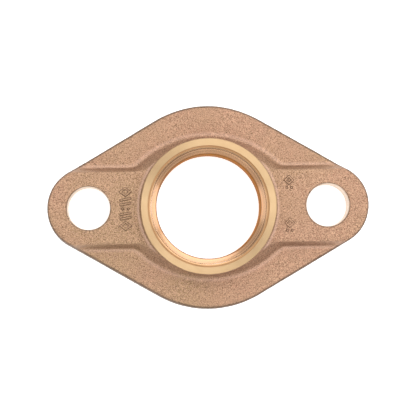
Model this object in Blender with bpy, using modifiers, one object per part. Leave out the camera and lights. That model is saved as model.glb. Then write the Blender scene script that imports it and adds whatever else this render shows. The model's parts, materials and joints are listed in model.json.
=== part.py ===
"""A plain flange bearing: a cast bronze housing with two bolt ears, and the turned bush pressed into its hub.

Metres. The bore runs along +Z, from the mounting face at z = 0 to the hub's faced ring. The bolt holes lie
on the X axis.
"""

import math

import bmesh
import bpy

MM = 0.001

# Flange plan: two ears and a central disc, wrapped by straight tangent sides.
BOLT_SPACING = 114.3 * MM
BOLT_HOLE_RADIUS = 10.25 * MM
EAR_RADIUS = 19.8 * MM
LOBE_RADIUS = 48.5 * MM

# Heights above the mounting face.
LOBE_HEIGHT = 11.0 * MM
EAR_HEIGHT = 15.9 * MM
HUB_HEIGHT = 22.0 * MM

# Raised strip from ear to ear, and the flare where it widens round the hub.
STRIP_HALF_WIDTH = 18.5 * MM  # halfway up its sloping side
STRIP_SIDE_RUN = 2.4 * MM  # how far the side leans in, from the lobes up to the strip
FLARE_RADIUS = 47.5 * MM  # at the lobes' level
FLARE_CENTRE = 14.0 * MM  # the flare's arc is centred this far beyond the bore axis
FLARE_BLEND = 7.0 * MM  # concave arc between the strip and the flare

# Hub and the seat bored in it.
HUB_RADIUS = 32.3 * MM
HUB_DRAFT = 0.09  # outward lean of its side, as a share of the height
RING_INNER_RADIUS = 28.9 * MM
SEAT_RADIUS = 27.5 * MM
SEAT_MOUTH_RADIUS = 27.9 * MM
SEAT_MOUTH_DEPTH = 0.6 * MM

# Bush.
BORE_RADIUS = 25.0 * MM
BUSH_LENGTH = 20.0 * MM
BUSH_FIT_GAP = 0.3 * MM  # the press fit is drawn as a thin gap, so that the two solids stay apart
BUSH_RECESS = 1.4 * MM  # from the faced ring down to the bush's end
BUSH_CHAMFER = 1.6 * MM  # radial width of the bright chamfer at the front
BUSH_CHAMFER_DEPTH = 1.0 * MM
BUSH_BACK_CHAMFER = 0.7 * MM
LEAD_IN = 0.2 * MM  # the bore opens by this much towards its front chamfer
LEAD_IN_LENGTH = 1.8 * MM

# Edges.
CAST_EDGE = 1.2 * MM
CUT_EDGE = 0.5 * MM
EAR_STEP = 0.05 * MM  # the ears' upper wall stands in by this much from the plate's
MOUNTING_EDGE = 0.6 * MM
PAST = 1.0 * MM  # how far a cutter runs past the face that it breaks through

TURNED_STEPS = 96
HOLE_STEPS = 48
ARC_STEP = math.radians(5)
MERGE = 0.01 * MM
SMOOTH_ANGLE = math.radians(30)

BRONZE_CAST = (0.48, 0.30, 0.21, 1.0)
BRONZE_TURNED = (0.80, 0.54, 0.30, 1.0)


def clear_objects():
    for obj in list(bpy.data.objects):
        bpy.data.objects.remove(obj, do_unlink=True)


def new_collection(name, helpers=False):
    collection = bpy.data.collections.new(name)
    collection.hide_render = helpers
    bpy.context.scene.collection.children.link(collection)
    return collection


def metal(name, colour, roughness, metallic):
    material = bpy.data.materials.new(name)
    material.use_nodes = True
    shader = material.node_tree.nodes["Principled BSDF"]
    shader.inputs["Base Color"].default_value = colour
    shader.inputs["Roughness"].default_value = roughness
    shader.inputs["Metallic"].default_value = metallic
    return material


def add_object(name, data, collection):
    obj = bpy.data.objects.new(name, data)
    collection.objects.link(obj)
    return obj


def hide_helper(obj):
    obj.hide_render = True
    obj.display_type = "WIRE"
    return obj


def arc(centre, radius, start, end):
    """Points along an arc from the start angle to the end angle, both included."""
    steps = max(1, round(abs(end - start) / ARC_STEP))
    angles = [start + (end - start) * i / steps for i in range(steps + 1)]
    return [(centre[0] + radius * math.cos(a), centre[1] + radius * math.sin(a)) for a in angles]


def turned_round(points):
    """A half outline, followed by the same half turned 180 degrees about the bore."""
    return points + [(-x, -y) for x, y in points]


def flange_outline(inset=0.0):
    ear = BOLT_SPACING / 2
    tangent = math.acos((LOBE_RADIUS - EAR_RADIUS) / ear)
    half = arc((ear, 0), EAR_RADIUS - inset, -tangent, tangent)
    half += arc((0, 0), LOBE_RADIUS - inset, tangent, math.pi - tangent)
    return turned_round(half)


def strip_outline(grown):
    """The strip and its flare at the lobes' level, grown outwards by a margin, and longer than the flange."""
    edge = STRIP_HALF_WIDTH + STRIP_SIDE_RUN / 2 + grown
    flare = FLARE_RADIUS + grown
    blend = FLARE_BLEND - grown
    rise = FLARE_CENTRE + edge + blend
    blend_x = math.sqrt((flare + blend) ** 2 - rise**2)
    turn = math.atan2(rise, blend_x)
    end = BOLT_SPACING
    half = [(end, edge)]
    half += arc((blend_x, edge + blend), blend, -math.pi / 2, turn - math.pi)
    half += arc((0, -FLARE_CENTRE), flare, turn, math.pi - turn)[1:-1]
    half += arc((-blend_x, edge + blend), blend, -turn, -math.pi / 2)
    half += [(-end, edge)]
    return turned_round(half)


def extruded(name, points, bottom, top, collection):
    """A flat closed outline raised from one height to another, as a mesh object."""
    bm = bmesh.new()
    outline = bm.faces.new([bm.verts.new((x, y, bottom)) for x, y in points])
    raised = bmesh.ops.extrude_face_region(bm, geom=[outline], use_keep_orig=True)
    corners = [item for item in raised["geom"] if isinstance(item, bmesh.types.BMVert)]
    bmesh.ops.translate(bm, vec=(0, 0, top - bottom), verts=corners)
    bmesh.ops.recalc_face_normals(bm, faces=bm.faces)
    mesh = bpy.data.meshes.new(name)
    bm.to_mesh(mesh)
    bm.free()
    return add_object(name, mesh, collection)


def cap_of(bm, top):
    """The flat cap that closes an extruded outline at its top, or at its bottom."""
    return (max if top else min)(bm.faces, key=lambda face: face.calc_center_median().z)


def write_triangles(bm, body):
    bmesh.ops.triangulate(bm, faces=bm.faces)
    bm.to_mesh(body.data)
    bm.free()


def round_rims(body, top_width, bottom_width):
    """Rounds the upper rim of an extruded outline and breaks its lower one."""
    bm = bmesh.new()
    bm.from_mesh(body.data)
    for top, width, segments in ((True, top_width, 3), (False, bottom_width, 1)):
        bmesh.ops.bevel(
            bm,
            geom=list(cap_of(bm, top).edges),
            offset=width,
            segments=segments,
            profile=0.5,
            affect="EDGES",
        )
    write_triangles(bm, body)


def lean_in(body, run, height):
    """Adds a sloping side above an extruded outline, leaning in by run over height."""
    bm = bmesh.new()
    bm.from_mesh(body.data)
    bmesh.ops.inset_region(bm, faces=[cap_of(bm, True)], thickness=run, depth=height, use_even_offset=True)
    write_triangles(bm, body)


def turned(name, profile, steps, collection, closed=False):
    """A profile of (radius, height) points, listed down its outer side, turned about Z."""
    mesh = bpy.data.meshes.new(name)
    edges = [(i, i + 1) for i in range(len(profile) - 1)]
    if closed:
        edges.append((len(profile) - 1, 0))
    mesh.from_pydata([(radius, 0, height) for radius, height in profile], edges, [])
    obj = add_object(name, mesh, collection)
    screw = obj.modifiers.new("Turn", "SCREW")
    screw.axis = "Z"
    screw.steps = steps
    screw.render_steps = steps
    screw.use_merge_vertices = True
    screw.merge_threshold = MERGE
    return obj


def boolean(obj, operation, other, solver="EXACT"):
    modifier = obj.modifiers.new(f"{operation.title()} {other.name}", "BOOLEAN")
    modifier.operation = operation
    modifier.solver = solver
    modifier.object = other


def finish_mesh(obj, material):
    """Makes the evaluated shape the object's own mesh, smooth except at its real edges."""
    bpy.context.view_layer.update()
    evaluated = obj.evaluated_get(bpy.context.evaluated_depsgraph_get())
    mesh = bpy.data.meshes.new_from_object(evaluated)
    obj.modifiers.clear()
    obj.data = mesh
    mesh.name = obj.name
    mesh.materials.clear()
    mesh.materials.append(material)
    mesh.shade_smooth()
    mesh.set_sharp_from_angle(angle=SMOOTH_ANGLE)


def raised_strip(collection):
    """The strip, its flare and the ears: the full-height plan, kept only where the strip stands."""
    buried = LOBE_HEIGHT - CAST_EDGE - PAST
    skirt_top = LOBE_HEIGHT - PAST
    slope = STRIP_SIDE_RUN / (EAR_HEIGHT - LOBE_HEIGHT)
    rise = EAR_HEIGHT - skirt_top + PAST
    keep = extruded("strip_plan", strip_outline(slope * PAST), buried, skirt_top, collection)
    lean_in(keep, slope * rise, rise)
    ears = extruded("ears_full_height", flange_outline(EAR_STEP), PAST, EAR_HEIGHT, collection)
    round_rims(ears, CAST_EDGE, MOUNTING_EDGE)
    boolean(ears, "INTERSECT", keep)
    hide_helper(keep)
    return hide_helper(ears)


def hub_blank(collection):
    """The hub as a plain boss, before its seat is bored."""
    buried = LOBE_HEIGHT + PAST
    shoulder = HUB_HEIGHT - CUT_EDGE
    profile = [
        (0, HUB_HEIGHT),
        (HUB_RADIUS - CUT_EDGE / 2, HUB_HEIGHT),
        (HUB_RADIUS, shoulder),
        (HUB_RADIUS + HUB_DRAFT * (shoulder - buried), buried),
        (0, buried),
    ]
    return hide_helper(turned("hub_blank", profile, TURNED_STEPS, collection))


def seat_cutter(collection):
    """What is bored out of the housing: the stepped mouth, the bush's seat and the back chamfer."""
    land = HUB_HEIGHT - BUSH_RECESS
    back_radius = SEAT_RADIUS + MOUNTING_EDGE
    profile = [
        (0, HUB_HEIGHT + PAST),
        (RING_INNER_RADIUS, HUB_HEIGHT + PAST),
        (RING_INNER_RADIUS, HUB_HEIGHT),
        (SEAT_MOUTH_RADIUS, HUB_HEIGHT - SEAT_MOUTH_DEPTH),
        (SEAT_RADIUS, land),
        (SEAT_RADIUS, MOUNTING_EDGE),
        (back_radius, 0),
        (back_radius, -PAST),
        (0, -PAST),
    ]
    return hide_helper(turned("seat_cutter", profile, TURNED_STEPS, collection))


def bolt_hole_cutter(name, x, collection):
    mouth = BOLT_HOLE_RADIUS + CUT_EDGE
    profile = [
        (0, EAR_HEIGHT + PAST),
        (mouth, EAR_HEIGHT + PAST),
        (mouth, EAR_HEIGHT),
        (BOLT_HOLE_RADIUS, EAR_HEIGHT - CUT_EDGE),
        (BOLT_HOLE_RADIUS, CUT_EDGE),
        (mouth, 0),
        (mouth, -PAST),
        (0, -PAST),
    ]
    cutter = turned(name, profile, HOLE_STEPS, collection)
    cutter.location.x = x
    return hide_helper(cutter)


def flange_housing(parts, helpers):
    housing = extruded("flange_housing", flange_outline(), 0, LOBE_HEIGHT, parts)
    round_rims(housing, CAST_EDGE, MOUNTING_EDGE)
    boolean(housing, "UNION", raised_strip(helpers))
    # The strip's sides meet the ears' rounded rims at a shallow angle, and EXACT leaves gaps there after this.
    boolean(housing, "UNION", hub_blank(helpers), "MANIFOLD")
    boolean(housing, "DIFFERENCE", seat_cutter(helpers), "MANIFOLD")
    for side, x in (("left", -BOLT_SPACING / 2), ("right", BOLT_SPACING / 2)):
        boolean(housing, "DIFFERENCE", bolt_hole_cutter(f"bolt_hole_{side}", x, helpers), "MANIFOLD")
    finish_mesh(housing, metal("cast_bronze", BRONZE_CAST, 0.62, 0.85))


def bearing_bush(parts):
    """The plain bush: a chamfer at each end, and a bore that opens slightly at the front."""
    front = HUB_HEIGHT - BUSH_RECESS
    back = front - BUSH_LENGTH
    outer = SEAT_RADIUS - BUSH_FIT_GAP
    edge = CUT_EDGE / 2
    lead_radius = BORE_RADIUS + LEAD_IN
    lead_top = front - BUSH_CHAMFER_DEPTH
    profile = [
        (outer - edge, front),
        (outer, front - edge),
        (outer, back + edge),
        (outer - edge, back),
        (BORE_RADIUS + BUSH_BACK_CHAMFER, back),
        (BORE_RADIUS, back + BUSH_BACK_CHAMFER),
        (BORE_RADIUS, lead_top - LEAD_IN_LENGTH),
        (lead_radius, lead_top),
        (lead_radius + BUSH_CHAMFER, front),
    ]
    bush = turned("bearing_bush", profile, TURNED_STEPS, parts, closed=True)
    finish_mesh(bush, metal("turned_bronze", BRONZE_TURNED, 0.28, 1.0))


clear_objects()
part_collection = new_collection("flange_bearing")
helper_collection = new_collection("cutters_and_blanks", helpers=True)
flange_housing(part_collection, helper_collection)
bearing_bush(part_collection)
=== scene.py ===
"""The look of a plain flange bearing: a shot-blasted bronze casting, faced and bored on a lathe,
with a turned bush in its hub.

The housing is made in the order that the real one is: the casting first, with its soft edges and
sandy skin, and then the cuts of the lathe and the drill, which leave crisp edges and bright metal.
"""

import json
import math

import bmesh
import bpy
import numpy as np
from mathutils import Matrix, Vector


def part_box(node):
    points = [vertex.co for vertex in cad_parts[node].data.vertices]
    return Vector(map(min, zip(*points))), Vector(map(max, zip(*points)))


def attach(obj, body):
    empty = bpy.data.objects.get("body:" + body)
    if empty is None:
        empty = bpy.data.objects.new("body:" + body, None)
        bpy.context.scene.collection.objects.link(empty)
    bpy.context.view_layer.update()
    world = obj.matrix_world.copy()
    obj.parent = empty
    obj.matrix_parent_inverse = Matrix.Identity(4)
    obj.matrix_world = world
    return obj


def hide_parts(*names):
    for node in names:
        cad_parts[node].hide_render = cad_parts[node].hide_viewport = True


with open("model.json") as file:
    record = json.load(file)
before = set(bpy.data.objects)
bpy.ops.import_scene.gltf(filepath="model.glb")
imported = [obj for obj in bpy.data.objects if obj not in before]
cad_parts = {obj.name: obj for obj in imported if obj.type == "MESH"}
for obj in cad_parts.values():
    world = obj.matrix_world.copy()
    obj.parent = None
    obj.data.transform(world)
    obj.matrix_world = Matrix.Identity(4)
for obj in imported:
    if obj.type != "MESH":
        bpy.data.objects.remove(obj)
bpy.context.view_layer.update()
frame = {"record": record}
record = frame["record"]

MM = 0.001

# Dimensions that the frame gives.
housing_low, housing_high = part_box("flange_housing")
bush_low, bush_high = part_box("bearing_bush")
mounts = {mount["name"]: mount for mount in record["mounts"]}
openings = {opening["name"]: opening["box_m"] for opening in record["physics"]["openings"]}
HUB_TOP = housing_high.z
EAR_TOP = mounts["bolt_pad_right"]["pos_m"][2]
BOLT_X = (openings["bolt_hole_right"][0][0] + openings["bolt_hole_right"][1][0]) / 2
EAR_RADIUS = housing_high.x - BOLT_X
LOBE_RADIUS = housing_high.y
BUSH_FRONT = bush_high.z
BUSH_BACK = bush_low.z

# The casting's shape, as in the CAD model.
LOBE_TOP = 11.0 * MM
BOLT_HOLE_RADIUS = 10.25 * MM
# The raised strip's upper edge and its foot: half width, flare radius, how far beyond the bore
# axis the flare is centred, and the radius that blends the strip into the flare.
STRIP_TOP_EDGE = (17.2 * MM, 43.5 * MM, 14.0 * MM, 8.5 * MM)
STRIP_FOOT_EDGE = (19.6 * MM, 48.6 * MM, 14.0 * MM, 5.5 * MM)
HUB_RADIUS = 32.3 * MM
HUB_DRAFT = 0.05

# What is turned: the stepped mouth inside the hub's faced ring, the bush's seat, and the bush.
RING_INNER_RADIUS = 28.95 * MM
LEDGE_RADII = (28.8 * MM, 28.1 * MM)  # a narrow flat step inside the ring
LEDGE_DEPTH = 1.0 * MM  # any deeper, and the ledge's inner edge may be shaded smooth
SEAT_RADIUS = 27.5 * MM
SEAT_GAP = 0.14 * MM
SEAT_BACK_CHAMFER = 0.6 * MM
BORE_RADIUS = 24.8 * MM
BUSH_CHAMFER_DEPTH = 1.4 * MM
BUSH_LEAD_RADIUS = 25.0 * MM  # the bore opens to this over the lead, just below the chamfer
BUSH_LEAD_LENGTH = 1.8 * MM
BUSH_BACK_CHAMFER = 0.7 * MM
BUSH_CORNER = 0.08 * MM
EDGE_BREAK = 0.25 * MM
STOCK = 1.5 * MM  # metal that the lathe takes off
LATHE_STEPS = 256

# The casting's rounded edges and hollows.
EDGE_SHARE = 0.08  # the shares of the strip's side taken by its rounded edge
FOOT_SHARE = 0.28  # and by its hollow foot
HUB_FOOT = 2.2 * MM  # width of the shallow rise against the hub
HUB_FOOT_RISE = 0.45 * MM
RIM_EDGE = 1.0 * MM
SIDE_DRAFT = 0.04
SIDE_SPREAD = 0.45 * MM  # how far the draft carries the foot of the sides outwards
# Painted shade: a dark line along the outline and round the bolt holes.
RIM_SHADE_REACH = 1.15 * MM  # how far the dark edge reaches in from the outline
HOLE_SHADE_REACH = 0.8 * MM  # and out from the bolt holes

# How the casting is meshed and softened.
GRID_STEP = 0.3 * MM
VOXEL = 0.45 * MM
SOFTENING = 1
ARC_STEP = math.radians(1.5)
SHARP_ANGLE = math.radians(32)  # edges that turn by more than this stay crisp
MARKS_SHARP_ANGLE = math.radians(40)

# The housing's finishes, in the order of its material slots.
CAST, TURNED, DRILLED, STEP, LEDGE = range(5)


# ---------------------------------------------------------------- mesh helpers


def coordinates(elements, kind):
    """The x, y and z arrays of a mesh's vertices ("co") or of its polygons' centres ("center")."""
    values = np.empty(len(elements) * 3)
    elements.foreach_get(kind, values)
    return values.reshape(-1, 3).T


def smooth_but(mesh, angle):
    """Shades a mesh smooth, but keeps the edges crisp that turn by more than the angle."""
    mesh.shade_smooth()
    mesh.set_sharp_from_angle(angle=angle)


def new_object(name, mesh):
    obj = bpy.data.objects.new(name, mesh)
    bpy.context.scene.collection.objects.link(obj)
    return obj


def mesh_from_bmesh(name, bm):
    mesh = bpy.data.meshes.new(name)
    bm.to_mesh(mesh)
    bm.free()
    return mesh


def turned(name, profile, steps, closed=False):
    """A solid of revolution about Z from (radius, height) points listed down its outer side."""
    mesh = bpy.data.meshes.new(name)
    edges = [(i, i + 1) for i in range(len(profile) - 1)]
    if closed:
        edges.append((len(profile) - 1, 0))
    mesh.from_pydata([(radius, 0, height) for radius, height in profile], edges, [])
    obj = new_object(name, mesh)
    screw = obj.modifiers.new("Turn", "SCREW")
    screw.steps = steps
    screw.render_steps = steps
    screw.use_merge_vertices = True
    screw.merge_threshold = 0.001 * MM
    bake(obj)
    return obj


def bake(obj):
    """Applies the modifiers."""
    bpy.context.view_layer.update()
    evaluated = obj.evaluated_get(bpy.context.evaluated_depsgraph_get())
    mesh = bpy.data.meshes.new_from_object(evaluated)
    obj.modifiers.clear()
    obj.data = mesh
    mesh.name = obj.name


def combine(obj, operation, other):
    modifier = obj.modifiers.new(operation.title(), "BOOLEAN")
    modifier.operation = operation
    modifier.solver = "MANIFOLD"
    modifier.object = other


def prism(name, bottom_points, top_points, bottom, top):
    """A triangulated solid between two outlines with the same number of points."""
    count = len(bottom_points)
    points = [(x, y, bottom) for x, y in bottom_points] + [(x, y, top) for x, y in top_points]
    sides = [(i, (i + 1) % count, (i + 1) % count + count, i + count) for i in range(count)]
    ends = [list(range(count))[::-1], list(range(count, 2 * count))]
    mesh = bpy.data.meshes.new(name)
    mesh.from_pydata(points, [], ends + sides)
    bm = bmesh.new()
    bm.from_mesh(mesh)
    bmesh.ops.triangulate(bm, faces=bm.faces)
    bm.to_mesh(mesh)
    bm.free()
    return new_object(name, mesh)


# ------------------------------------------------------------ casting geometry


def arc(centre, radius, start, end):
    """Points along an arc that is centred on the X axis."""
    steps = max(1, round(abs(end - start) / ARC_STEP))
    angles = [start + (end - start) * i / steps for i in range(steps + 1)]
    return [(centre + radius * math.cos(a), radius * math.sin(a)) for a in angles]


def flange_outline(grown):
    """Two ears and a central disc, wrapped by straight tangent sides, all of it grown outwards."""
    tangent = math.acos((LOBE_RADIUS - EAR_RADIUS) / BOLT_X)
    half = arc(BOLT_X, EAR_RADIUS + grown, -tangent, tangent)
    half += arc(0, LOBE_RADIUS + grown, tangent, math.pi - tangent)
    return half + [(-x, -y) for x, y in half]


def outline_depth(x, y):
    """Distance inwards from the flange's outline."""
    x, y = np.abs(x), np.abs(y)
    tangent = math.acos((LOBE_RADIUS - EAR_RADIUS) / BOLT_X)
    across = LOBE_RADIUS - (x * math.cos(tangent) + y * math.sin(tangent))
    along = x * math.sin(tangent) - y * math.cos(tangent)
    lobe = LOBE_RADIUS - np.hypot(x, y)
    ear = EAR_RADIUS - np.hypot(x - BOLT_X, y)
    return np.where(along < 0, lobe, np.where(along > BOLT_X * math.sin(tangent), ear, across))


def strip_distance(x, y, half_width, flare_radius, flare_centre, blend_radius):
    """Distance outwards from a line that follows the strip's side and flares around the hub."""
    x, y = np.abs(x), np.abs(y)
    rise = flare_centre + half_width + blend_radius
    blend_x = math.sqrt((flare_radius + blend_radius) ** 2 - rise**2)
    blend_y = half_width + blend_radius
    straight = y - half_width
    flare = np.hypot(x, y + flare_centre) - flare_radius
    blend = blend_radius - np.hypot(x - blend_x, y - blend_y)
    turn = math.atan2(rise, blend_x)
    angle = np.arctan2(y - blend_y, x - blend_x)
    in_blend = (angle < -math.pi / 2) & (angle > turn - math.pi)
    return np.where(in_blend, blend, np.minimum(straight, flare))


def side_fall(share):
    """How far down the strip's side a point is, from 0 at its edge to 1 at its foot, by its share
    of the run."""
    slope = 1 / (1 - (EDGE_SHARE + FOOT_SHARE) / 2)
    edge = slope * share**2 / (2 * EDGE_SHARE)
    middle = slope * (share - EDGE_SHARE / 2)
    foot = 1 - slope * (1 - share) ** 2 / (2 * FOOT_SHARE)
    return np.where(share < EDGE_SHARE, edge, np.where(share < 1 - FOOT_SHARE, middle, foot))


def casting_height(x, y):
    """Height of the casting's upper surface, without the hub itself."""
    past_edge = np.maximum(strip_distance(x, y, *STRIP_TOP_EDGE), 0)
    before_foot = np.maximum(-strip_distance(x, y, *STRIP_FOOT_EDGE), 1e-9)
    share = past_edge / (past_edge + before_foot)
    height = EAR_TOP - (EAR_TOP - LOBE_TOP) * side_fall(share)
    from_hub = np.hypot(x, y) - HUB_RADIUS - HUB_DRAFT * (HUB_TOP - EAR_TOP)
    near = np.clip(1 - from_hub / HUB_FOOT, 0, 1)
    height = height + HUB_FOOT_RISE * near**2
    depth = outline_depth(x, y) + SIDE_SPREAD - SIDE_DRAFT * height
    near = np.clip(1 - depth / RIM_EDGE, 0, 1)
    return height - RIM_EDGE * (1 - np.sqrt(1 - near**2))


def terrain(name):
    """The lobes and the raised strip, as the top of a block that is wider than the flange."""
    margin = 4 * MM
    half_x = housing_high.x + margin
    half_y = housing_high.y + margin
    count_x = round(2 * half_x / GRID_STEP) + 1
    count_y = round(2 * half_y / GRID_STEP) + 1
    x, y = np.meshgrid(np.linspace(-half_x, half_x, count_x), np.linspace(-half_y, half_y, count_y))
    top = np.stack([x, y, casting_height(x, y)], axis=-1).reshape(-1, 3)
    bottom = np.stack([x, y, np.full_like(x, -STOCK)], axis=-1).reshape(-1, 3)
    index = np.arange(count_x * count_y).reshape(count_y, count_x)
    corners = [index[:-1, :-1], index[:-1, 1:], index[1:, 1:], index[1:, :-1]]
    quads = np.stack(corners, axis=-1).reshape(-1, 4)
    rim = np.concatenate([index[0, :-1], index[:-1, -1], index[-1, :0:-1], index[:0:-1, 0]])
    after = np.roll(rim, -1)
    below = len(top)
    sides = np.stack([rim + below, after + below, after, rim], axis=-1)
    faces = np.concatenate([quads, quads[:, ::-1] + below, sides])
    mesh = bpy.data.meshes.new(name)
    mesh.from_pydata(np.concatenate([top, bottom]).tolist(), [], faces.tolist())
    return new_object(name, mesh)


def roughen(obj, name, size, amount):
    """Moves the skin in and out along its normals by a noise of the given size."""
    texture = bpy.data.textures.new(name, "CLOUDS")
    texture.noise_scale = size
    texture.noise_depth = 1
    modifier = obj.modifiers.new(name, "DISPLACE")
    modifier.texture = texture
    modifier.texture_coords = "LOCAL"
    modifier.strength = amount
    modifier.mid_level = 0.5


def casting():
    """The raw casting, with stock left where the lathe will cut."""
    raw = terrain("flange_casting")
    high = HUB_TOP + STOCK
    low_outline = flange_outline(SIDE_SPREAD + SIDE_DRAFT * STOCK)
    high_outline = flange_outline(SIDE_SPREAD - SIDE_DRAFT * high)
    sides = prism("sides", low_outline, high_outline, -STOCK, high)
    buried = LOBE_TOP / 2
    low_radius = HUB_RADIUS + HUB_DRAFT * (HUB_TOP - buried)
    high_radius = HUB_RADIUS - HUB_DRAFT * STOCK
    hub = turned("hub", [(0, high), (high_radius, high), (low_radius, buried), (0, buried)], 192)
    combine(raw, "INTERSECT", sides)
    combine(raw, "UNION", hub)
    remesh = raw.modifiers.new("Remesh", "REMESH")
    remesh.mode = "VOXEL"
    remesh.voxel_size = VOXEL
    soften = raw.modifiers.new("Soften", "SMOOTH")
    soften.factor = 0.5
    soften.iterations = SOFTENING
    roughen(raw, "sand", 0.75 * MM, 0.2 * MM)
    roughen(raw, "waves", 16 * MM, 0.28 * MM)
    bake(raw)
    bpy.data.objects.remove(sides)
    bpy.data.objects.remove(hub)
    return raw


def lathe_cut():
    """What the lathe removes: the hub's face, the stepped mouth and the seat for the bush."""
    outside = HUB_RADIUS + 6 * MM
    profile = [
        (0, HUB_TOP + 3 * STOCK),
        (outside, HUB_TOP + 3 * STOCK),
        (outside, HUB_TOP - EDGE_BREAK),
        (HUB_RADIUS, HUB_TOP - EDGE_BREAK),
        (HUB_RADIUS - EDGE_BREAK, HUB_TOP),
        (RING_INNER_RADIUS, HUB_TOP),
        (LEDGE_RADII[0], HUB_TOP - LEDGE_DEPTH),
        (LEDGE_RADII[1], HUB_TOP - LEDGE_DEPTH),
        (SEAT_RADIUS, BUSH_FRONT),
        (SEAT_RADIUS, SEAT_BACK_CHAMFER),
        (SEAT_RADIUS + SEAT_BACK_CHAMFER, 0),
        (SEAT_RADIUS + SEAT_BACK_CHAMFER, -3 * STOCK),
        (0, -3 * STOCK),
    ]
    return turned("lathe_cut", profile, LATHE_STEPS)


def drill_cut(x):
    """What the drill removes at one ear, with both mouths of the hole broken."""
    mouth = BOLT_HOLE_RADIUS + EDGE_BREAK
    profile = [
        (0, EAR_TOP + STOCK),
        (mouth, EAR_TOP + STOCK),
        (mouth, EAR_TOP),
        (BOLT_HOLE_RADIUS, EAR_TOP - EDGE_BREAK),
        (BOLT_HOLE_RADIUS - 0.15 * MM, EDGE_BREAK),
        (mouth, 0),
        (mouth, -3 * STOCK),
        (0, -3 * STOCK),
    ]
    cutter = turned("drill_cut", profile, 128)
    cutter.location.x = x
    return cutter


def back_cut():
    """What is faced off the back."""
    reach = housing_high.x + 5 * MM
    corners = [(-reach, -reach), (reach, -reach), (reach, reach), (-reach, reach)]
    return prism("back_cut", corners, corners, -4 * STOCK, 0)


def machined_slots(mesh):
    """Gives each face its finish."""
    x, y, z = coordinates(mesh.polygons, "center")
    radius = np.hypot(x, y)
    from_bolt = np.hypot(np.abs(x) - BOLT_X, y)
    above_back = z > 0.001 * MM
    slot = np.full(len(mesh.polygons), CAST, np.int32)
    slot[(z > HUB_TOP - 1.2 * EDGE_BREAK) & (radius < HUB_RADIUS + 0.1 * MM)] = TURNED
    slot[radius < RING_INNER_RADIUS] = STEP
    slot[radius < LEDGE_RADII[1]] = LEDGE
    slot[~above_back] = TURNED
    slot[(from_bolt < BOLT_HOLE_RADIUS + EDGE_BREAK) & above_back] = DRILLED
    mesh.polygons.foreach_set("material_index", slot)


def bump_at(value, centre, half_width):
    """1 at the centre, falling evenly to 0 at half the width to either side."""
    return np.clip(1 - np.abs(value - centre) / half_width, 0, 1)


def mark_wear(mesh):
    """Stores where shade and light are painted on the skin: painted shade along the edges, round
    the bolt holes and down the strip's side, and a painted highlight in the hollows."""
    x, y, z = coordinates(mesh.vertices, "co")
    radius = np.hypot(x, y)
    from_hole = np.hypot(np.abs(x) - BOLT_X, y) - BOLT_HOLE_RADIUS
    depth = outline_depth(x, y)
    # rim: painted shade along the outline and round the bolt holes, fading down the outer wall.
    down_side = 1 + (depth + 0.1 * MM) / (0.7 * MM)  # fades the dark edge down the outer wall
    rim = np.maximum(np.minimum(1 - depth / RIM_SHADE_REACH, down_side), 1 - from_hole / HOLE_SHADE_REACH)
    past_edge = strip_distance(x, y, *STRIP_TOP_EDGE)
    past_foot = strip_distance(x, y, *STRIP_FOOT_EDGE)
    share = past_edge / np.maximum(past_edge - past_foot, 1e-6)
    above_rim = z > LOBE_TOP - 0.6 * MM
    # side: painted shade down the strip's side, strongest near its upper edge.
    side = np.interp(share, (-0.04, 0.08, 0.3, 0.6, 0.85), (0, 1, 0.8, 0.6, 0))
    side = side * above_rim * (radius > HUB_RADIUS + 1.0 * MM)
    # hollow: a painted highlight in the hollows beside the hub and the strip's foot.
    beside_hub = bump_at(radius, HUB_RADIUS + 1.2 * MM, 0.9 * MM)
    beside_hub = beside_hub * (past_edge < 0) * (z < EAR_TOP + 0.6 * MM)
    beside_strip = bump_at(past_foot, 0.5 * MM, 1.2 * MM) * above_rim * (z < EAR_TOP - 2 * MM)
    beside_strip = beside_strip * (radius > HUB_RADIUS + 1.5 * MM)
    hollow = np.maximum(beside_hub, 0.6 * beside_strip)
    for name, values in (("rim", rim), ("side", side), ("hollow", hollow)):
        attribute = mesh.attributes.new(name, "FLOAT", "POINT")
        attribute.data.foreach_set("value", np.clip(values, 0, 1))


def flange_housing(materials):
    """The casting with its machining cuts. Its materials are in the order of the finishes."""
    housing = casting()
    housing.name = "flange_housing_cast"
    cutters = [lathe_cut(), back_cut(), drill_cut(-BOLT_X), drill_cut(BOLT_X)]
    for cutter in cutters:
        combine(housing, "DIFFERENCE", cutter)
    bake(housing)
    for cutter in cutters:
        bpy.data.objects.remove(cutter)
    housing.data.materials.clear()
    for material in materials:
        housing.data.materials.append(material)
    machined_slots(housing.data)
    mark_wear(housing.data)
    smooth_but(housing.data, SHARP_ANGLE)
    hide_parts("flange_housing")
    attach(housing, "root")


# ----------------------------------------------------------------- cast marks

MARK_HALF_WIDTH = 0.62 * MM
PIP_RADIUS = 0.75 * MM
MARK_HEIGHT = 0.5 * MM
STROKE_RISE = 0.4 * MM  # how far the ends of a stroke are above and below its middle
DIAMOND_HALF_HEIGHT = 1.7 * MM
# Shares of the half width, and heights above the strip, from the sunk foot to the crest.
MARK_SECTION = (
    (1.0, -0.6 * MM),
    (1.0, 0),
    (0.62, 0.75 * MARK_HEIGHT),
    (0.48, 0.95 * MARK_HEIGHT),
    (0.3, MARK_HEIGHT),
)
# Columns of marks in mm: x, reach to either side, and the y of the diamonds, strokes and pips.
MARK_COLUMNS = (
    (-39.6, 2.3, (7.6, -8.6), (4.0, 1.8, -2.8, -5.0), (-0.5,)),
    (38.7, 1.8, (12.2, -8.3), (), (8.6, -11.9)),
)


def ring_of(bm, points, height):
    return [bm.verts.new((x, y, EAR_TOP + height)) for x, y in points]


def skin(bm, rings):
    """Joins closed rings of points, each to the next, by quads."""
    for low, high in zip(rings, rings[1:]):
        for i in range(len(low)):
            k = (i + 1) % len(low)
            bm.faces.new((low[i], low[k], high[k], high[i]))


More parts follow.
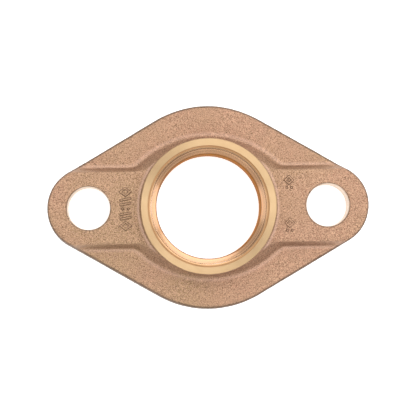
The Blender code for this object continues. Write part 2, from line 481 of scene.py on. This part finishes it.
def raised_stroke(bm, start, end, half_width=MARK_HALF_WIDTH):
    """A round-ended raised stroke, or a pip where both ends are the same."""
    angle = math.atan2(end[1] - start[1], end[0] - start[0])
    turns = [angle - math.pi / 2 + math.pi * i / 8 for i in range(9)]
    rings = []
    for share, height in MARK_SECTION:
        reach = share * half_width
        points = [(end[0] + reach * math.cos(a), end[1] + reach * math.sin(a)) for a in turns]
        points += [(start[0] - reach * math.cos(a), start[1] - reach * math.sin(a)) for a in turns]
        rings.append(ring_of(bm, points, height))
    skin(bm, rings)
    bm.faces.new(rings[0][::-1])
    bm.faces.new(rings[-1])


def raised_diamond(bm, centre, half_x, half_y):
    """The outline of a diamond as one raised closed stroke."""
    growth = math.hypot(half_x, half_y) / (half_x * half_y)  # for each unit that its sides move out
    sections = [(-share, height) for share, height in MARK_SECTION]
    sections += [(share, height) for share, height in reversed(MARK_SECTION)]
    rings = []
    for share, height in sections:
        grow = 1 + share * MARK_HALF_WIDTH * growth
        corners = [(half_x * grow, 0), (0, half_y * grow), (-half_x * grow, 0), (0, -half_y * grow)]
        rings.append(ring_of(bm, [(centre[0] + x, centre[1] + y) for x, y in corners], height))
    skin(bm, rings + rings[:1])


def foundry_marks(material):
    """Raised strokes, diamonds and pips that say nothing, where a foundry would cast its marks."""
    bm = bmesh.new()
    for column, reach, diamonds, strokes, pips in MARK_COLUMNS:
        left, right = (column - reach) * MM, (column + reach) * MM
        for y in diamonds:
            raised_diamond(bm, (column * MM, y * MM), reach * MM, DIAMOND_HALF_HEIGHT)
        for y in strokes:
            raised_stroke(bm, (left, y * MM - STROKE_RISE), (right, y * MM + STROKE_RISE))
        for y in pips:
            for x in (column - 0.6 * reach, column + 0.6 * reach):
                raised_stroke(bm, (x * MM, y * MM), (x * MM, y * MM), PIP_RADIUS)
    # The two ends of a pip share points.
    bmesh.ops.remove_doubles(bm, verts=bm.verts, dist=0.001 * MM)
    bmesh.ops.recalc_face_normals(bm, faces=bm.faces)
    marks = new_object("foundry_marks", mesh_from_bmesh("foundry_marks", bm))
    marks.data.materials.append(material)
    smooth_but(marks.data, MARKS_SHARP_ANGLE)
    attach(marks, "root")


# ------------------------------------------------------------------------ bush


def rounded(corners, radius, steps=4):
    """A closed profile with each corner rounded by a small quadratic curve."""
    points = []
    for i, corner in enumerate(corners):
        corner = Vector(corner)
        before = Vector(corners[i - 1]) - corner
        after = Vector(corners[(i + 1) % len(corners)]) - corner
        reach = min(radius, 0.45 * before.length, 0.45 * after.length)
        start = corner + before.normalized() * reach
        end = corner + after.normalized() * reach
        for k in range(steps + 1):
            t = k / steps
            points.append(tuple(start * (1 - t) ** 2 + corner * 2 * t * (1 - t) + end * t**2))
    return points


def bearing_bush(materials):
    """The bush, with its chamfered end in the first material and its bore in the second."""
    outside = SEAT_RADIUS - SEAT_GAP
    lead_top = BUSH_FRONT - BUSH_CHAMFER_DEPTH
    corners = [
        (outside, BUSH_FRONT),
        (outside, BUSH_BACK + EDGE_BREAK),
        (outside - EDGE_BREAK, BUSH_BACK),
        (BORE_RADIUS + BUSH_BACK_CHAMFER, BUSH_BACK),
        (BORE_RADIUS, BUSH_BACK + BUSH_BACK_CHAMFER),
        (BORE_RADIUS, lead_top - BUSH_LEAD_LENGTH),
        (BUSH_LEAD_RADIUS, lead_top),
    ]
    profile = rounded(corners, BUSH_CORNER)
    bush = turned("bearing_bush_turned", profile, LATHE_STEPS, closed=True)
    mesh = bush.data
    for material in materials:
        mesh.materials.append(material)
    x, y, _ = coordinates(mesh.polygons, "center")
    wall = np.hypot(x, y) < BUSH_LEAD_RADIUS + 0.02 * MM
    mesh.polygons.foreach_set("material_index", wall.astype(np.int32))
    smooth_but(mesh, SHARP_ANGLE)
    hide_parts("bearing_bush")
    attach(bush, "root")


# ------------------------------------------------------------------- materials


class Nodes:
    """A material's node tree, with short calls to add and link nodes."""

    def __init__(self, name):
        self.material = bpy.data.materials.new(name)
        self.material.use_nodes = True
        self.tree = self.material.node_tree
        self.shader = self.tree.nodes["Principled BSDF"]

    def add(self, kind, settings=None, **inputs):
        node = self.tree.nodes.new(kind)
        for name, value in (settings or {}).items():
            setattr(node, name, value)
        for name, value in inputs.items():
            self.set(node, name.replace("_", " "), value)
        return node

    def set(self, node, name, value):
        """Links or sets an input, which is given by its name or, in digits, by its place."""
        socket = node.inputs[int(name)] if name.isdigit() else node.inputs[name]
        if isinstance(value, bpy.types.NodeSocket):
            self.tree.links.new(value, socket)
        else:
            socket.default_value = value

    def math(self, operation, *values):
        node = self.add("ShaderNodeMath", {"operation": operation})
        for i, value in enumerate(values):
            self.set(node, str(i), value)
        return node.outputs[0]

    def vector(self, operation, *values):
        node = self.add("ShaderNodeVectorMath", {"operation": operation})
        for i, value in enumerate(values):
            self.set(node, str(i), value)
        return node.outputs["Value" if operation == "LENGTH" else "Vector"]

    def place(self):
        return self.add("ShaderNodeTexCoord").outputs["Object"]

    def attribute(self, name):
        return self.add("ShaderNodeAttribute", {"attribute_name": name}).outputs["Fac"]

    def noise(self, vector, scale, detail=2.0, roughness=0.5):
        inputs = {"Vector": vector, "Scale": scale, "Detail": detail, "Roughness": roughness}
        return self.add("ShaderNodeTexNoise", **inputs).outputs["Fac"]

    def spread(self, value, low, high, to_low=0.0, to_high=1.0):
        """Maps low..high to to_low..to_high, without going past the ends."""
        node = self.add("ShaderNodeMapRange", {"clamp": True})
        for i, number in enumerate((value, low, high, to_low, to_high)):
            self.set(node, str(i), number)
        return node.outputs[0]

    def mix(self, share, first, second, blend="MIX"):
        node = self.add("ShaderNodeMix", {"data_type": "RGBA", "blend_type": blend})
        self.set(node, "0", share)
        self.set(node, "6", first)
        self.set(node, "7", second)
        return node.outputs[2]

    def bump(self, height, distance, strength=1.0):
        node = self.add("ShaderNodeBump", Height=height, Distance=distance, Strength=strength)
        return node.outputs["Normal"]

    def finish(self, **inputs):
        """Sets the shader's inputs, and gives the material."""
        for name, value in inputs.items():
            self.set(self.shader, name.replace("_", " "), value)
        return self.material


def rgb(red, green, blue):
    """A colour given as it looks on screen, from 0 to 255."""

    def linear(value):
        value /= 255
        return value / 12.92 if value <= 0.04045 else ((value + 0.055) / 1.055) ** 2.4

    return (linear(red), linear(green), linear(blue), 1.0)


WHITE = (1, 1, 1, 1)


def cast_bronze(name, steep_shade, steep_range=(0.3, 0.78)):
    """Shot-blasted sand-cast bronze: pinkish tan and matt, with a fine wormy grain. Painted shade
    darkens it where it is steep, on the strip's side and along the rim, and a painted highlight
    lightens it in hollows. The steep range is given in the normal's Z, from full painted shade to
    none."""
    n = Nodes(name)
    place = n.place()
    patches = n.spread(n.noise(place, 26, 2), 0.38, 0.62)
    grain = n.spread(n.noise(place, 1500, 2, 0.6), 0.36, 0.64)
    fine = n.spread(n.noise(place, 2800, 1), 0.35, 0.65)
    colour = n.mix(patches, rgb(151, 125, 88), rgb(163, 120, 98))
    colour = n.mix(grain, rgb(114, 89, 69), colour)
    colour = n.mix(n.math("MULTIPLY", fine, 0.85), colour, rgb(211, 172, 142))
    # Painted highlight: lighter and pinker in the hollows beside the hub and the strip's foot.
    colour = n.mix(n.math("MULTIPLY", n.attribute("hollow"), 0.5), colour, rgb(228, 192, 174))
    normal = n.add("ShaderNodeNewGeometry").outputs["Normal"]
    facing = n.add("ShaderNodeSeparateXYZ", Vector=normal).outputs["Z"]
    radius = n.vector("LENGTH", n.vector("MULTIPLY", place, (1, 1, 0)))
    past_hub = n.spread(radius, 33.0 * MM, 34.0 * MM)
    # Painted shade: darker where the surface is steep, away from the hub.
    steep = n.math("MULTIPLY", n.spread(facing, *steep_range, steep_shade, 0.0), past_hub)
    side = n.math("MULTIPLY", n.attribute("side"), 0.12)
    rim = n.spread(n.attribute("rim"), 0.1, 0.6, 0.0, 0.9)
    painted_shade = n.math("MAXIMUM", n.math("MAXIMUM", steep, side), rim)
    # Painted shade: the colour darkened and made less metallic where steep, on the strip's side and
    # along the rim.
    colour = n.mix(painted_shade, colour, rgb(150, 147, 140), "MULTIPLY")
    metallic = n.spread(painted_shade, 0, 1, 0.8, 0.4)
    rough = n.spread(grain, 0, 1, 0.62, 0.5)
    height = n.math("ADD", n.math("MULTIPLY", grain, 0.7), n.math("MULTIPLY", fine, 0.3))
    sandy = n.bump(height, 0.12 * MM)
    return n.finish(Base_Color=colour, Metallic=metallic, Roughness=rough, Normal=sandy)


def turned_finish(
    name, light, dark, roughness, anisotropy=0.0, coat=0.0, edge_tint=WHITE, outer=None
):
    """Lathe-turned bronze: circular tool marks that spread the shine outwards from the axis. An
    outer colour is for the end of the bush, which changes to it away from the bore and has a thin
    line of painted shade at the bore's lip."""
    n = Nodes(name)
    place = n.place()
    flat = n.vector("MULTIPLY", place, (1, 1, 0))
    radius = n.vector("LENGTH", flat)
    line_noise = {"noise_dimensions": "1D"}
    rings = n.add("ShaderNodeTexNoise", line_noise, W=radius, Scale=5200, Detail=2).outputs["Fac"]
    stain = n.noise(place, 120, 3)
    marks = n.math("ADD", n.math("MULTIPLY", rings, 0.6), n.math("MULTIPLY", stain, 0.4))
    colour = n.mix(n.spread(marks, 0.35, 0.65), dark, light)
    if outer is not None:
        lip = BUSH_LEAD_RADIUS
        colour = n.mix(n.spread(radius, lip + 0.7 * MM, lip + 1.3 * MM), colour, outer)
        # Painted shade: a thin dark line just outside the bore's lip.
        past_lip = n.spread(radius, lip + 0.12 * MM, lip + 0.32 * MM)
        colour = n.mix(past_lip, rgb(138, 88, 52), colour)
    rough = n.spread(rings, 0.3, 0.7, roughness - 0.05, roughness + 0.05)
    normal = n.bump(rings, 0.012 * MM, 0.6)
    tangent = n.vector("NORMALIZE", flat)
    return n.finish(
        Base_Color=colour,
        Metallic=1.0,
        Roughness=rough,
        Anisotropic=anisotropy,
        Normal=normal,
        Tangent=tangent,
        Specular_Tint=edge_tint,
        Coat_Weight=coat,
        Coat_IOR=1.9,
        Coat_Roughness=0.12,
    )


def drilled_bronze():
    """A bare drilled wall with fine marks round the hole."""
    n = Nodes("drilled_bronze")
    streaks = n.noise(n.vector("MULTIPLY", n.place(), (1, 1, 6)), 420, 2)
    colour = n.mix(n.spread(streaks, 0.35, 0.65), rgb(210, 186, 162), rgb(226, 204, 182))
    return n.finish(
        Base_Color=colour,
        Metallic=1.0,
        Roughness=n.spread(streaks, 0.3, 0.7, 0.25, 0.4),
        Normal=n.bump(streaks, 0.02 * MM, 0.5),
    )


def pale_floor():
    """A matt floor that glows a little, so that it comes out white."""
    n = Nodes("pale_floor")
    tint = n.spread(n.noise(n.place(), 3, 2), 0.3, 0.7)
    colour = n.mix(tint, (0.9, 0.9, 0.9, 1), (0.93, 0.93, 0.93, 1))
    return n.finish(
        Base_Color=colour, Roughness=0.9, Emission_Color=WHITE, Emission_Strength=0.6
    )


# ----------------------------------------------------------------------- stage


def floor():
    bm = bmesh.new()
    bmesh.ops.create_grid(bm, x_segments=8, y_segments=8, size=3)
    plane = new_object("floor", mesh_from_bmesh("floor", bm))
    plane.data.materials.append(pale_floor())


def softbox(name, azimuth, lean, size, glow, distance=1.6):
    """A soft light that faces the part, at an azimuth from +X and a lean from overhead, both in
    degrees. Its size and distance are in metres, and its glow is how bright it looks, whatever
    its size."""
    azimuth, lean = math.radians(azimuth), math.radians(lean)
    data = bpy.data.lights.new(name, "AREA")
    data.shape = "RECTANGLE"
    data.size, data.size_y = size
    data.energy = glow * math.pi * size[0] * size[1]
    light = new_object(name, data)
    away = Vector(
        (math.cos(azimuth) * math.sin(lean), math.sin(azimuth) * math.sin(lean), math.cos(lean))
    )
    across = Vector((-math.sin(azimuth), math.cos(azimuth), 0))
    turn = Matrix((across, away.cross(across), away)).transposed().to_4x4()
    light.matrix_world = Matrix.Translation(away * distance) @ turn


def studio():
    world = bpy.data.worlds.new("studio")
    bpy.context.scene.world = world
    world.use_nodes = True
    background = world.node_tree.nodes["Background"]
    background.inputs["Color"].default_value = WHITE
    background.inputs["Strength"].default_value = 0.5
    softbox("overhead", 0, 0, (0.9, 0.9), 0.85)
    softbox("top_high", 76, 30, (0.78, 0.3), 3.1, 0.8)
    softbox("top_low", 73, 63, (2.6, 0.6), 1.4)
    softbox("front_high", 253, 32, (1.3, 0.7), 1.8)
    softbox("front_low", 262, 82, (2.0, 0.4), 1.3)
    softbox("right_high", 2, 30, (0.3, 0.3), 3.5, 0.8)
    softbox("right_low", 2, 60, (0.53, 0.35), 1.15, 0.8)
    softbox("left_high", 176, 30, (0.5, 0.6), 2.1)
    softbox("left_low", 180, 60, (0.9, 0.7), 0.7)


def camera():
    """A long lens almost straight above the bore, leaning a little towards the near left."""
    data = bpy.data.cameras.new("camera")
    data.lens = 181.4
    data.sensor_width = 36
    data.clip_end = 20
    target = Vector((-0.21 * MM, -0.65 * MM, EAR_TOP))
    lean_x, lean_y, roll = (math.radians(angle) for angle in (-1.62, -1.81, 0.896))
    back = Vector((math.tan(lean_x), math.tan(lean_y), 1)).normalized()
    right = Vector((math.sin(roll), math.cos(roll), 0)).cross(back).normalized()
    up = back.cross(right)
    turn = Matrix((right, up, back)).transposed().to_4x4()
    obj = new_object("camera", data)
    obj.matrix_world = Matrix.Translation(target + back) @ turn
    bpy.context.scene.camera = obj


# ----------------------------------------------------------------------- scene

turned_ring = turned_finish(
    "turned_bronze", rgb(203, 173, 134), rgb(188, 156, 117), 0.42, anisotropy=0.8
)
turned_step = turned_finish("turned_step", rgb(203, 164, 122), rgb(186, 147, 107), 0.7)
turned_ledge = turned_finish("turned_ledge", rgb(222, 180, 140), rgb(208, 164, 122), 0.25)
bush_end = turned_finish(
    "bush_end", rgb(240, 182, 128), rgb(230, 166, 112), 0.27, coat=0.9, outer=rgb(216, 164, 118)
)
# The bore's colours are darker and more orange than the end's: painted shade inside the bore.
bush_bore = turned_finish(
    "bush_bore", rgb(160, 114, 78), rgb(140, 96, 62), 0.45, edge_tint=rgb(240, 190, 140)
)
skin_finish = cast_bronze("cast_bronze", 0.25)
flange_housing([skin_finish, turned_ring, drilled_bronze(), turned_step, turned_ledge])
# The marks' steep sides get strong painted shade, for crisp dark outlines.
foundry_marks(cast_bronze("cast_marks", 0.85, (0.6, 0.95)))
bearing_bush([bush_end, bush_bore])
floor()
studio()
camera()
bpy.context.scene.view_settings.view_transform = "Standard"
